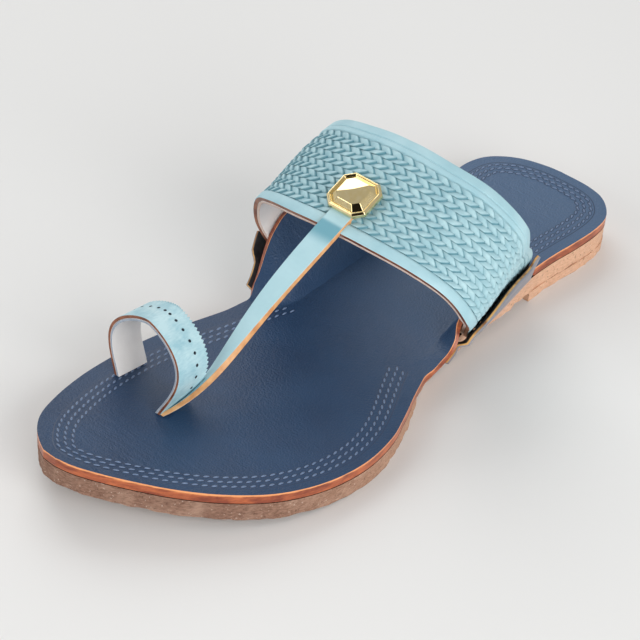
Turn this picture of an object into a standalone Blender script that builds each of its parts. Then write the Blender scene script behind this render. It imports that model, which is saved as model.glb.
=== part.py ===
"""Kolhapuri sandal, left shoe, in metres.

The toe points to -Y, the heel to +Y, +X is the outer (lateral) side, +Z is up, and z = 0 is the floor.
Sole and insole are lofts between a medial and a lateral rail. Band, insole wings and side flaps follow one
last, whose sections come from the instep's height and the ball's width.
"""

import math

import bmesh
import bpy
from mathutils import Vector

# Driving sizes of the sole
LENGTH = 0.250
BALL_WIDTH = 0.091
OUTSOLE_THICK = 0.0066
OUTSOLE_INSET = 0.0023
HEEL_LIFT_THICK = 0.0034
INSOLE_THICK = 0.0033
TOE_SPRING = 0.0106
TOE_SPRING_LENGTH = 0.082
GAP = 0.0003
WING_GAP = 0.0005

# Driving sizes of the upper and its flaps
INSTEP_HEIGHT = 0.065
BAND_WALL = 0.0024
BRAID_ROWS = 7
BRAID_RAISE = 0.0006
FRONT_BORDER = 0.0035
REAR_BORDER = 0.0045
WING_HEIGHT = 0.027
FLAP_THICK = 0.0015
FLAP_HEIGHT = 0.0185
STRAP_WIDTH = 0.0085
STRAP_THICK = 0.0020
STRAP_BOW = 0.0030
STRAP_TWIST = 2.1
RING_WIDTH = 0.0250
RING_HEIGHT = 0.0272
RING_SWELL = 0.66
RING_STRAP_WIDTH = 0.0133
RING_WALL = 0.0020
STUD_WIDTH = 0.0162
STUD_LENGTH = 0.0148
STUD_RIM_HEIGHT = 0.0022
STUD_DOME_HEIGHT = 0.0012

MEDIAL = -1
LATERAL = 1

# Places along the shoe, as shares of its length from the middle, toe negative
FOREPART_FLAT_FRONT = -0.5 + TOE_SPRING_LENGTH / LENGTH
FOREPART_FLAT_REAR = -0.06
HEEL_FRONT = 0.272
INSET_FRONT = -0.06
INSET_REAR = 0.22
INSET_RUN = 0.08
WING_FRONT = {MEDIAL: -0.052, LATERAL: -0.020}
WING_FULL = {MEDIAL: -0.036, LATERAL: 0.010}
WING_FADE = 0.262
WING_REAR = 0.278
FLAP_FRONT = {MEDIAL: -0.036, LATERAL: 0.042}
FLAP_REAR = 0.262
WAIST_CENTRE = -0.033

# Share of its thickness that a wing is pared down by at its top edge
WING_SKIVE = 0.4

# Outline of the sole from toe to heel.
# Columns: medial edge out and along, lateral edge out and along.
# Out is a share of the ball width, along a share of the length.
OUTLINE = (
    (-0.214, -0.4975, -0.154, -0.4985),
    (-0.264, -0.4870, -0.088, -0.4920),
    (-0.324, -0.4700, -0.011, -0.4770),
    (-0.380, -0.4455, 0.082, -0.4545),
    (-0.423, -0.4140, 0.192, -0.4240),
    (-0.465, -0.3680, 0.308, -0.3820),
    (-0.494, -0.3160, 0.412, -0.3280),
    (-0.504, -0.2560, 0.478, -0.2640),
    (-0.492, -0.1960, 0.501, -0.1960),
    (-0.457, -0.1400, 0.481, -0.1360),
    (-0.422, -0.0900, 0.433, -0.0880),
    (-0.406, -0.0440, 0.376, -0.0400),
    (-0.368, 0.0000, 0.330, 0.0080),
    (-0.341, 0.0560, 0.302, 0.0640),
    (-0.335, 0.1280, 0.281, 0.1360),
    (-0.336, 0.2000, 0.262, 0.2040),
    (-0.341, 0.2640, 0.244, 0.2640),
    (-0.357, 0.3200, 0.240, 0.3200),
    (-0.380, 0.3720, 0.248, 0.3720),
    (-0.391, 0.4120, 0.248, 0.4160),
    (-0.371, 0.4460, 0.231, 0.4500),
    (-0.319, 0.4700, 0.187, 0.4740),
    (-0.247, 0.4870, 0.126, 0.4910),
    (-0.154, 0.4970, 0.049, 0.4985),
    (-0.088, 0.5000, -0.027, 0.5000),
)

# Sections of the last under the band.
# Columns: along (share of the length), half width (share of the ball width), height of the widest point and
# of the top above the insole's underside (shares of the instep height), half width at the foot of the medial
# and of the lateral wall (shares of the ball width).
LAST = (
    (-0.100, 0.425, 0.385, 0.680, 0.280, 0.300),
    (-0.060, 0.437, 0.390, 0.748, 0.280, 0.300),
    (0.000, 0.450, 0.400, 0.845, 0.280, 0.300),
    (0.080, 0.447, 0.530, 0.960, 0.280, 0.300),
    (0.180, 0.390, 0.670, 1.020, 0.280, 0.268),
    (0.280, 0.325, 0.680, 1.040, 0.280, 0.222),
)
LAST_ROUND = 2.1
SIDE_SHARE = 0.6
SIDE_FLARE = {MEDIAL: 0.0, LATERAL: 0.8}
BAND_FOOT = 0.97
BAND_SKEW = 0.012
STUD_PLACE = -0.0080

# Front and rear edge of the band.
# Columns: place round the arch (0 at the top, 1 at the sole), front edge along on the medial and on the lateral
# side, rear edge along (shares of the length).
BAND_EDGES = (
    (0.00, -0.058, -0.058, 0.096),
    (0.15, -0.053, -0.053, 0.099),
    (0.30, -0.037, -0.039, 0.112),
    (0.45, -0.012, -0.017, 0.126),
    (0.60, 0.006, 0.005, 0.146),
    (0.72, 0.016, 0.026, 0.172),
    (0.80, 0.023, 0.045, 0.208),
    (0.88, 0.029, 0.066, 0.236),
    (1.00, 0.038, 0.094, 0.246),
)

# Height of the insole's wings and of the flaps over the insole's underside, and how far the wing's top edge
# leans out past the last in front of the band.
# Columns: along (share of the length), then for the medial side the wing (share of its height), the flap (share
# of its height) and the lean (share of the ball width), then the same for the lateral side.
WAIST_SIDES = (
    (-0.052, 0.12, 0.20, 0.110, 0.03, 0.03, 0.080),
    (-0.040, 0.20, 0.26, 0.098, 0.03, 0.03, 0.080),
    (-0.022, 0.42, 0.50, 0.055, 0.03, 0.03, 0.080),
    (-0.006, 0.63, 0.78, 0.016, 0.03, 0.03, 0.080),
    (0.012, 0.80, 0.97, 0.000, 0.04, 0.04, 0.076),
    (0.032, 0.91, 1.00, 0.000, 0.07, 0.08, 0.068),
    (0.048, 0.95, 1.00, 0.000, 0.11, 0.12, 0.061),
    (0.062, 0.98, 1.00, 0.000, 0.22, 0.24, 0.044),
    (0.076, 1.00, 1.00, 0.000, 0.42, 0.46, 0.000),
    (0.100, 1.00, 1.00, 0.000, 0.74, 0.80, 0.000),
    (0.130, 0.92, 0.95, 0.000, 0.88, 0.95, 0.000),
    (0.160, 0.82, 0.88, 0.000, 0.82, 0.90, 0.000),
    (0.220, 0.45, 0.74, 0.000, 0.45, 0.74, 0.000),
    (0.262, 0.16, 0.68, 0.000, 0.16, 0.68, 0.000),
    (0.280, 0.12, 0.66, 0.000, 0.12, 0.66, 0.000),
)

ACROSS_OUTSOLE = 2
ACROSS_FLAT = 2
ACROSS_WING = 6
ACROSS_FLAP = 5
WAIST_STATIONS = 34
ACROSS_BAND = 44
STEPS_PER_ROW = 2


def clear_scene():
    for thing in list(bpy.data.objects):
        bpy.data.objects.remove(thing)


def smooth(share):
    share = min(1.0, max(0.0, share))
    return share * share * (3 - 2 * share)


def spline(points, place):
    """A smooth curve through the points: place 0 is the first and len(points) - 1 the last."""
    last = len(points) - 1
    index = min(int(max(place, 0.0)), last - 1)
    share = place - index
    before = points[max(index - 1, 0)]
    after = points[min(index + 2, last)]
    blended = []
    for a, b, c, d in zip(before, points[index], points[index + 1], after):
        slope_b = (c - a) / 2
        slope_c = (d - b) / 2
        rise = c - b
        cubic = slope_b + slope_c - 2 * rise
        square = 3 * rise - 2 * slope_b - slope_c
        blended.append(b + share * (slope_b + share * (square + share * cubic)))
    return blended


def look_up(table, column, key):
    """Reads a column of a table at a key of its first column, with a smooth curve between the rows."""
    if key <= table[0][0]:
        return table[0][column]
    if key >= table[-1][0]:
        return table[-1][column]
    row = 0
    while table[row + 1][0] < key:
        row += 1
    before = table[max(row - 1, 0)]
    here = table[row]
    there = table[row + 1]
    after = table[min(row + 2, len(table) - 1)]
    span = there[0] - here[0]
    share = (key - here[0]) / span
    slope_here = (there[column] - before[column]) / (there[0] - before[0]) * span
    slope_there = (after[column] - here[column]) / (after[0] - here[0]) * span
    rise = there[column] - here[column]
    cubic = slope_here + slope_there - 2 * rise
    square = 3 * rise - 2 * slope_here - slope_there
    return here[column] + share * (slope_here + share * (square + share * cubic))


def rail_pair(place):
    """The medial and the lateral point of the sole's outline at a place along the table's rows."""
    medial_out, medial_along, lateral_out, lateral_along = spline(OUTLINE, place)
    medial = Vector((medial_out * BALL_WIDTH, medial_along * LENGTH, 0))
    lateral = Vector((lateral_out * BALL_WIDTH, lateral_along * LENGTH, 0))
    return medial, lateral


def outsole_bottom(y):
    """Height of the outsole's underside: toe spring, flat forepart, rise over the waist, flat heel seat."""
    share = y / LENGTH
    if share < FOREPART_FLAT_FRONT:
        run = (FOREPART_FLAT_FRONT - share) * LENGTH / TOE_SPRING_LENGTH
        return TOE_SPRING * run * run
    rise = (share - FOREPART_FLAT_REAR) / (HEEL_FRONT - FOREPART_FLAT_REAR)
    return (HEEL_LIFT_THICK + GAP) * smooth(rise)


def outsole_inset(y):
    """How far the outsole's cut edge stands back from the outline beside the waist."""
    into = smooth((y / LENGTH - INSET_FRONT) / INSET_RUN)
    out = smooth((INSET_REAR - y / LENGTH) / INSET_RUN)
    return OUTSOLE_INSET * min(into, out)


def insole_bottom(y):
    return outsole_bottom(y) + OUTSOLE_THICK + GAP


def insole_top(y):
    return insole_bottom(y) + INSOLE_THICK


def last_point(around, y):
    """A point of the last, the band's inner face. around is 0 at the top, -1 at the medial foot of the wall
    and 1 at the lateral one."""
    share = y / LENGTH
    half_width = look_up(LAST, 1, share) * BALL_WIDTH
    side_height = look_up(LAST, 2, share) * INSTEP_HEIGHT
    top_height = look_up(LAST, 3, share) * INSTEP_HEIGHT
    foot_half = look_up(LAST, 4 if around < 0 else 5, share) * BALL_WIDTH
    reach = abs(around)
    side = MEDIAL if around < 0 else LATERAL
    if reach < SIDE_SHARE:
        angle = reach / SIDE_SHARE * math.pi / 2
        out = half_width * math.sin(angle) ** (2 / LAST_ROUND)
        up = side_height + (top_height - side_height) * max(math.cos(angle), 0) ** (2 / LAST_ROUND)
    else:
        climb = (1 - reach) / (1 - SIDE_SHARE)
        flare = smooth(climb) + SIDE_FLARE[side] * climb * (1 - climb) ** 2
        out = foot_half + (half_width - foot_half) * flare
        up = side_height * climb
    centre = WAIST_CENTRE * BALL_WIDTH
    return Vector((centre + side * out, y, insole_bottom(y) + up))


def off_last(around, y, distance):
    """A point at a distance outside the last, along its normal, and never lower than the insole's underside."""
    step = 0.01
    reach = LENGTH * step
    along = last_point(around, y + reach) - last_point(around, y - reach)
    round_arch = last_point(around + step, y) - last_point(around - step, y)
    point = last_point(around, y) + round_arch.cross(along).normalized() * distance
    point.z = max(point.z, insole_bottom(y))
    return point


def around_at_height(y, height):
    """Place round the arch of a point of the last's side wall at a height over the insole's underside."""
    side_height = look_up(LAST, 2, y / LENGTH) * INSTEP_HEIGHT
    return 1 - min(height / side_height, 1) * (1 - SIDE_SHARE)


def closed_sheet(outer, inner):
    """A closed solid between two grids of points of the same layout."""
    mesh = bmesh.new()
    rows = len(outer)
    columns = len(outer[0])
    top = [[mesh.verts.new(point) for point in row] for row in outer]
    under = [[mesh.verts.new(point) for point in row] for row in inner]
    for r in range(rows - 1):
        for c in range(columns - 1):
            mesh.faces.new((top[r][c], top[r][c + 1], top[r + 1][c + 1], top[r + 1][c]))
            mesh.faces.new((under[r + 1][c], under[r + 1][c + 1], under[r][c + 1], under[r][c]))
    rim = [(0, c) for c in range(columns)]
    rim += [(r, columns - 1) for r in range(1, rows)]
    rim += [(rows - 1, c) for c in range(columns - 2, -1, -1)]
    rim += [(r, 0) for r in range(rows - 2, 0, -1)]
    for (r, c), (next_r, next_c) in zip(rim, rim[1:] + rim[:1]):
        mesh.faces.new((top[next_r][next_c], top[r][c], under[r][c], under[next_r][next_c]))
    bmesh.ops.triangulate(mesh, faces=[face for face in mesh.faces if len(face.verts) > 3])
    bmesh.ops.recalc_face_normals(mesh, faces=mesh.faces)
    return mesh


def make_material(name, colour, roughness, metallic=0.0):
    material = bpy.data.materials.new(name)
    material.use_nodes = True
    shader = material.node_tree.nodes["Principled BSDF"]
    shader.inputs["Base Color"].default_value = (*colour, 1)
    shader.inputs["Roughness"].default_value = roughness
    shader.inputs["Metallic"].default_value = metallic
    return material


def add_part(name, mesh, material, collection, parent):
    data = bpy.data.meshes.new(name)
    mesh.to_mesh(data)
    mesh.free()
    data.materials.append(material)
    part = bpy.data.objects.new(name, data)
    collection.objects.link(part)
    part.parent = parent
    return part


def section_places(first, last):
    """Places along the outline's rows, with even steps between neighbouring rows."""
    count = (last - first) * STEPS_PER_ROW
    return [first + step / STEPS_PER_ROW for step in range(count + 1)]


def outsole_mesh():
    """Tan outsole: one thick sheet with toe spring, a narrow raised waist and the heel seat."""
    upper = []
    lower = []
    for place in section_places(0, len(OUTLINE) - 1):
        medial, lateral = rail_pair(place)
        medial.x += outsole_inset(medial.y)
        lateral.x -= outsole_inset(lateral.y)
        upper.append([])
        lower.append([])
        for step in range(ACROSS_OUTSOLE + 1):
            point = medial.lerp(lateral, step / ACROSS_OUTSOLE)
            point.z = outsole_bottom(point.y)
            lower[-1].append(point)
            upper[-1].append(point + Vector((0, 0, OUTSOLE_THICK)))
    return closed_sheet(upper, lower)


def heel_lift_mesh():
    """Heel lift: one more flat layer under the heel, cut square across at its front."""
    upper = []
    lower = []
    first = next(row for row, shares in enumerate(OUTLINE) if shares[1] > HEEL_FRONT)
    places = section_places(first, len(OUTLINE) - 1)
    front_medial, front_lateral = rail_pair(first)
    ends = [(front_medial, front_lateral)] + [rail_pair(place) for place in places[1:]]
    square_front = []
    for point, neighbour in zip(ends[0], rail_pair(first - 1)):
        share = (HEEL_FRONT * LENGTH - neighbour.y) / (point.y - neighbour.y)
        square_front.append(neighbour.lerp(point, share))
    for medial, lateral in [tuple(square_front)] + ends:
        lower.append([medial.lerp(lateral, step / ACROSS_OUTSOLE) for step in range(ACROSS_OUTSOLE + 1)])
        upper.append([point + Vector((0, 0, HEEL_LIFT_THICK)) for point in lower[-1]])
    return closed_sheet(upper, lower)


def outline_edge(side, y):
    """The sole's edge at a station of the waist."""
    column = 0 if side == MEDIAL else 2
    rail = [(row[column + 1], row[column]) for row in OUTLINE]
    return Vector((look_up(rail, 1, y / LENGTH) * BALL_WIDTH, y, 0))


def waist_stations():
    first = WING_FRONT[MEDIAL] * LENGTH
    last = WING_REAR * LENGTH
    return [first + (last - first) * step / WAIST_STATIONS for step in range(WAIST_STATIONS + 1)]


def wing_share(side, y):
    """How far the insole's side stands up at a station: 0 where it lies flat, 1 where it is a full wing."""
    share = y / LENGTH
    front = smooth((share - WING_FRONT[side]) / (WING_FULL[side] - WING_FRONT[side]))
    rear = smooth((WING_REAR - share) / (WING_REAR - WING_FADE))
    return min(front, rear)


def waist_side(side, part, y):
    """Reads the waist's table: part 1 is the wing's height, 2 the flap's height and 3 the lean."""
    column = part if side == MEDIAL else part + 3
    return look_up(WAIST_SIDES, column, y / LENGTH)


def side_point(side, y, height, distance):
    """A point of the side wall at the waist, at a distance outside the last: the wall of the wing and flap."""
    lean = waist_side(side, 3, y) * BALL_WIDTH * height / (waist_side(side, 1, y) * WING_HEIGHT)
    return off_last(side * around_at_height(y, height), y, distance) + Vector((side * lean, 0, 0))


def insole_side(side, middle, edge):
    """One side of the insole's section from the fold to the cut edge, as its top and bottom points."""
    stands = wing_share(side, middle.y)
    root = side_point(side, middle.y, 0, -WING_GAP)
    fold = middle.lerp(edge, 0.7).lerp(Vector((root.x, middle.y, 0)), stands)
    wing_height = waist_side(side, 1, middle.y) * WING_HEIGHT
    under = [Vector((fold.x, fold.y, insole_bottom(fold.y)))]
    for step in range(1, ACROSS_WING + 1):
        climb = step / ACROSS_WING
        flat = fold.lerp(edge, climb)
        flat.z = insole_bottom(flat.y)
        wall = side_point(side, middle.y, wing_height * climb, -WING_GAP)
        under.append(flat.lerp(wall, stands))
    top = [Vector((fold.x - side * INSOLE_THICK * stands, fold.y, insole_top(fold.y)))]
    for step in range(1, ACROSS_WING + 1):
        run = under[min(step + 1, ACROSS_WING)] - under[step - 1]
        thick = INSOLE_THICK * (1 - WING_SKIVE * stands * step / ACROSS_WING)
        point = under[step] + Vector((-side * run.z, 0, side * run.x)).normalized() * thick
        lowest = insole_top(point.y)
        point.z = max(point.z, lowest + (point.z - lowest + INSOLE_THICK) * 0.01)
        top.append(point)
    return top, under


def insole_row(medial, lateral):
    """One section of the insole between two edge points, as its top and bottom points from medial to lateral."""
    middle = medial.lerp(lateral, 0.5)
    sides = (insole_side(MEDIAL, middle, medial), insole_side(LATERAL, middle, lateral))
    rows = []
    for near, far in zip(*sides):
        flat = [near[0].lerp(far[0], step / ACROSS_FLAT) for step in range(1, ACROSS_FLAT)]
        rows.append(near[::-1] + flat + far)
    return rows


def insole_mesh():
    """Navy insole: flat under the toes and heel, with its sides standing up as wings at the waist."""
    stations = waist_stations()
    pairs = [rail_pair(place) for place in section_places(0, len(OUTLINE) - 1)]
    toe = [pair for pair in pairs if max(pair[0].y, pair[1].y) < stations[0] - GAP]
    heel = [pair for pair in pairs if min(pair[0].y, pair[1].y) > stations[-1] + GAP]
    waist = [(outline_edge(MEDIAL, y), outline_edge(LATERAL, y)) for y in stations]
    rows = [insole_row(medial, lateral) for medial, lateral in toe + waist + heel]
    return closed_sheet([row[0] for row in rows], [row[1] for row in rows])


def band_skew(around):
    """The whole band sits a little further back on the lateral side."""
    return BAND_SKEW * math.sin(around * math.pi / 2)


def band_front(around):
    """The band's front edge, as a place along the shoe."""
    return (look_up(BAND_EDGES, 1 if around < 0 else 2, abs(around)) + band_skew(around)) * LENGTH


def band_rear(around):
    """The band's rear edge, as a place along the shoe."""
    return (look_up(BAND_EDGES, 3, abs(around)) + band_skew(around)) * LENGTH


def band_rows():
    """Places across the band from its front edge (0) to its rear edge (1), with the raise of the braid."""
    middle_width = (BAND_EDGES[0][3] - BAND_EDGES[0][1]) * LENGTH
    first = FRONT_BORDER / middle_width
    last = 1 - REAR_BORDER / middle_width
    pitch = (last - first) / BRAID_ROWS
    groove = pitch * 0.15
    rows = [(0.0, BRAID_RAISE), (first - groove, BRAID_RAISE)]
    for row in range(BRAID_ROWS):
        rows.append((first + row * pitch, 0.0))
        rows.append((first + (row + 0.5) * pitch, BRAID_RAISE))
    rows += [(last, 0.0), (last + groove, BRAID_RAISE), (1.0, BRAID_RAISE)]
    return rows


def band_mesh():
    """Instep band: one wall over the last, with the rows of the pressed braid raised on its outer face."""
    outer = []
    inner = []
    for across, raised in band_rows():
        outer.append([])
        inner.append([])
        for step in range(ACROSS_BAND + 1):
            around = BAND_FOOT * (2 * step / ACROSS_BAND - 1)
            front = band_front(around)
            rear = band_rear(around)
            y = front + (rear - front) * across
            fade = smooth((1 - abs(around)) / (1 - SIDE_SHARE) * 2)
            inner[-1].append(off_last(around, y, 0))
            outer[-1].append(off_last(around, y, BAND_WALL + raised * fade))
    return closed_sheet(outer, inner)


def flap_mesh(side):
    """Side flap: a leather ear outside the band's lower end, low in front where it hugs the insole's wing."""
    outer = []
    inner = []
    clear_of_band = BAND_WALL + BRAID_RAISE + GAP
    for y in waist_stations():
        if not FLAP_FRONT[side] * LENGTH < y < FLAP_REAR * LENGTH:
            continue
        height = waist_side(side, 2, y) * FLAP_HEIGHT
        outer.append([])
        inner.append([])
        for rise in range(ACROSS_FLAP + 1):
            level = height * rise / ACROSS_FLAP
            front = band_front(side * around_at_height(y, level))
            beside_band = smooth(1.5 - (front - y) / (clear_of_band * 1.5))
            distance = GAP + (clear_of_band - GAP) * beside_band
            inner[-1].append(side_point(side, y, level, distance))
            outer[-1].append(side_point(side, y, level, distance + FLAP_THICK))
    return closed_sheet(outer, inner)


def ring_point(around, across, distance):
    """A point of the toe ring. around runs from -1 (medial foot) over the top (0) to 1 (lateral foot), across
    from its front edge (0) to its rear edge (1)."""
    angle = around * math.pi / 2
    out = math.sin(angle) * RING_WIDTH / 2 * (1 + RING_SWELL * math.sin(2 * abs(angle)))
    up = max(math.cos(angle), 0) ** 0.9 * RING_HEIGHT
    foot_y = (-0.312 - 0.010 * around) * LENGTH + across * RING_STRAP_WIDTH
    lean = 0.018 * LENGTH * up / RING_HEIGHT
    centre = -0.280 * BALL_WIDTH
    away = Vector((math.sin(angle), 0, math.cos(angle)))
    return Vector((centre + out, foot_y + lean, insole_top(foot_y) + GAP + up)) + away * distance


def ring_mesh():
    """Toe ring: a leather strap bent into a tall arch over the big toe."""
    outer = []
    inner = []
    steps = 22
    widths = 3
    for width in range(widths + 1):
        outer.append([ring_point(2 * s / steps - 1, width / widths, 0) for s in range(steps + 1)])
        inner.append([ring_point(2 * s / steps - 1, width / widths, -RING_WALL) for s in range(steps + 1)])
    return closed_sheet(outer, inner)


def strap_mesh():
    """T-strap: flat under the stud, then turned on edge until it stands against the toe ring's lateral foot."""
    sink = STRAP_THICK * 0.6
    seat = BAND_WALL + BRAID_RAISE + STRAP_THICK - sink
    rear = (STUD_PLACE + 0.02) * LENGTH
    front = BAND_EDGES[0][1] * LENGTH
    face = []
    back = []
    for share in (0, 0.5, 0.95):
        y = rear + (front - rear) * share
        middle = off_last(0, y, seat)
        half = Vector((STRAP_WIDTH / 2, 0, 0))
        normal = (off_last(0, y, 1) - off_last(0, y, 0)).normalized()
        face.append([middle - half, middle, middle + half])
        back.append([point - normal * STRAP_THICK for point in face[-1]])
    medial_start = face[-1][0]
    lateral_start = face[-1][2]
    medial_end = ring_point(1, 0.98, -RING_WALL * 0.4)
    lateral_end = ring_point(1, 0.02, -RING_WALL * 0.4)
    run = medial_end + lateral_end - medial_start - lateral_start
    against_ring = Vector((-1, 0, 0))
    steps = 14
    for step in range(1, steps + 1):
        share = step / steps
        middle = (medial_start + lateral_start).lerp(medial_end + lateral_end, share) / 2
        middle.x += STRAP_BOW * 12 * share ** 4 * (1 - share)
        half = (lateral_start - medial_start).lerp(lateral_end - medial_end, share ** STRAP_TWIST) / 2
        normal = run.cross(half).normalized().lerp(against_ring, share ** 3).normalized()
        face.append([middle - half, middle, middle + half])
        back.append([point - normal * STRAP_THICK for point in face[-1]])
    return closed_sheet(face, back)


def join(target, tool_mesh, name, cutters):
    """Fuses a closed mesh into the target with an exact union."""
    data = bpy.data.meshes.new(name)
    tool_mesh.to_mesh(data)
    tool_mesh.free()
    tool = bpy.data.objects.new(name, data)
    cutters.objects.link(tool)
    tool.hide_render = True
    tool.display_type = "WIRE"
    union = target.modifiers.new(name, "BOOLEAN")
    union.operation = "UNION"
    union.solver = "EXACT"
    union.use_self = True
    union.object = tool


def stud_mesh():
    """Gold stud: a block with cut corners, a raised rim and a faceted dome inside it."""
    mesh = bmesh.new()
    cut = 0.195
    rings = (
        (1.00, 0.0),
        (1.00, STUD_RIM_HEIGHT * 0.7),
        (0.92, STUD_RIM_HEIGHT),
        (0.82, STUD_RIM_HEIGHT * 0.8),
        (0.34, STUD_RIM_HEIGHT + STUD_DOME_HEIGHT),
    )
    corners = []
    for x, y, next_x, next_y in ((1, -1, 1, 1), (1, 1, -1, 1), (-1, 1, -1, -1), (-1, -1, 1, -1)):
        corners.append((x + (next_x - x) * cut, y + (next_y - y) * cut))
        corners.append((next_x + (x - next_x) * cut, next_y + (y - next_y) * cut))
    loops = []
    for scale, height in rings:
        loop = []
        for x, y in corners:
            loop.append(mesh.verts.new((x * scale * STUD_WIDTH / 2, y * scale * STUD_LENGTH / 2, height)))
        loops.append(loop)
    for below, above in zip(loops, loops[1:]):
        for side in range(len(corners)):
            after = (side + 1) % len(corners)
            mesh.faces.new((below[side], below[after], above[after], above[side]))
    mesh.faces.new(loops[0][::-1])
    mesh.faces.new(loops[-1])
    bmesh.ops.recalc_face_normals(mesh, faces=mesh.faces)
    return mesh


def centre_on_floor(shoe, parts):
    """Moves the whole shoe so that its box is centred over the origin."""
    bpy.context.view_layer.update()
    evaluated = bpy.context.evaluated_depsgraph_get()
    corners = []
    for part in parts:
        seen = part.evaluated_get(evaluated)
        corners += [seen.matrix_world @ Vector(corner) for corner in seen.bound_box]
    shoe.location.x = -(min(point.x for point in corners) + max(point.x for point in corners)) / 2
    shoe.location.y = -(min(point.y for point in corners) + max(point.y for point in corners)) / 2


def build():
    clear_scene()
    sandal = bpy.data.collections.new("kolhapuri_sandal")
    cutters = bpy.data.collections.new("cutters")
    bpy.context.scene.collection.children.link(sandal)
    bpy.context.scene.collection.children.link(cutters)
    shoe = bpy.data.objects.new("left_shoe", None)
    sandal.objects.link(shoe)

    tan = make_material("tan_outsole_leather", (0.42, 0.26, 0.16), 0.8)
    lift_tan = make_material("tan_lift_leather", (0.40, 0.24, 0.15), 0.8)
    navy = make_material("navy_insole_leather", (0.05, 0.09, 0.18), 0.5)
    blue = make_material("light_blue_upper_leather", (0.43, 0.63, 0.70), 0.55)
    grey = make_material("grey_flap_leather", (0.28, 0.28, 0.31), 0.7)
    gold = make_material("gold_stud_metal", (0.85, 0.62, 0.25), 0.2, 1.0)

    add_part("outsole", outsole_mesh(), tan, sandal, shoe)
    add_part("heel_lift", heel_lift_mesh(), lift_tan, sandal, shoe)
    add_part("insole", insole_mesh(), navy, sandal, shoe)
    add_part("flap_medial", flap_mesh(MEDIAL), grey, sandal, shoe)
    add_part("flap_lateral", flap_mesh(LATERAL), grey, sandal, shoe)
    upper = add_part("upper", band_mesh(), blue, sandal, shoe)
    join(upper, strap_mesh(), "t_strap", cutters)
    join(upper, ring_mesh(), "toe_ring", cutters)

    stud = add_part("stud", stud_mesh(), gold, sandal, shoe)
    stud_y = STUD_PLACE * LENGTH
    base = off_last(0, stud_y, 0)
    normal = (off_last(0, stud_y, 1) - base).normalized()
    seat = BAND_WALL + BRAID_RAISE + STRAP_THICK * 0.4 + GAP
    stud.location = base + normal * seat
    stud.rotation_euler = normal.to_track_quat("Z", "Y").to_euler()
    centre_on_floor(shoe, [part for part in sandal.objects if part.type == "MESH"])


build()
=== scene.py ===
import math
import random

import bmesh
import bpy
from mathutils import Matrix, Vector, noise


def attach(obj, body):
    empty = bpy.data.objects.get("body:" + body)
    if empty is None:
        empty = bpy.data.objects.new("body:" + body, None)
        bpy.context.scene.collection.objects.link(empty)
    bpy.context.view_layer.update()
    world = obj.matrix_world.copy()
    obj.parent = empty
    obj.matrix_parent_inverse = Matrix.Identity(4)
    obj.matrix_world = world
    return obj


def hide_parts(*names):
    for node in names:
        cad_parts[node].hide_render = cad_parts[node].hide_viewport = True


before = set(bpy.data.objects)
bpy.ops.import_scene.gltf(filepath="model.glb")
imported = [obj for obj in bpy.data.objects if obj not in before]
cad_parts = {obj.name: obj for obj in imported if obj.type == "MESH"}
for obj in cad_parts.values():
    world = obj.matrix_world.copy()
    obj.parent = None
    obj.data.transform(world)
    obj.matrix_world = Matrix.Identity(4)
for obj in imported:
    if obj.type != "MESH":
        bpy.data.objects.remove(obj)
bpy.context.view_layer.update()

# Studio: a pale seamless floor, a large soft light behind the shoe on the left and a low soft light on each
# side in front. The surround is even white, and dark only where the photographer stands with the camera.


def linear(hex_code):
    """Turns an sRGB hex colour into the linear values that the shaders take."""
    shares = [int(hex_code[i:i + 2], 16) / 255 for i in (1, 3, 5)]
    return tuple(c / 12.92 if c <= 0.04045 else ((c + 0.055) / 1.055) ** 2.4 for c in shares) + (1.0,)


def connect(target, inputs):
    """Sets a node's inputs, each from a value, a hex colour, another node or one of its outputs."""
    for name, value in inputs.items():
        if isinstance(value, bpy.types.Node):
            value = next(output for output in value.outputs if output.enabled)
        if isinstance(value, bpy.types.NodeSocket):
            target.id_data.links.new(value, target.inputs[name])
        else:
            target.inputs[name].default_value = linear(value) if isinstance(value, str) else value


def node(tree, kind, inputs=None, **settings):
    """Adds a node with its settings and inputs. Inputs 6 and 7 of a colour Mix are its two colours."""
    made = tree.nodes.new("ShaderNode" + kind)
    for name, value in settings.items():
        setattr(made, name, value)
    connect(made, inputs or {})
    return made


def new_material(name, roughness, specular):
    """A Principled material, its node tree, its shader and the object's own coordinates in metres."""
    material = bpy.data.materials.new(name)
    material.use_nodes = True
    tree = material.node_tree
    shader = tree.nodes["Principled BSDF"]
    connect(shader, {"Roughness": roughness, "Specular IOR Level": specular})
    return material, tree, shader, node(tree, "TexCoord").outputs["Object"]


def add_object(mesh, name, finishes, place):
    """Turns a built mesh into an object of the scene, with its finishes, at a place."""
    data = bpy.data.meshes.new(name)
    mesh.to_mesh(data)
    mesh.free()
    for finish in finishes:
        data.materials.append(finish)
    made = bpy.data.objects.new(name, data)
    bpy.context.scene.collection.objects.link(made)
    made.location = place
    return made


# The solids are centred over the origin, which moved the shoe's own origin by this much.
shoe_origin = Vector((0.000741, -0.000188, 0))

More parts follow.
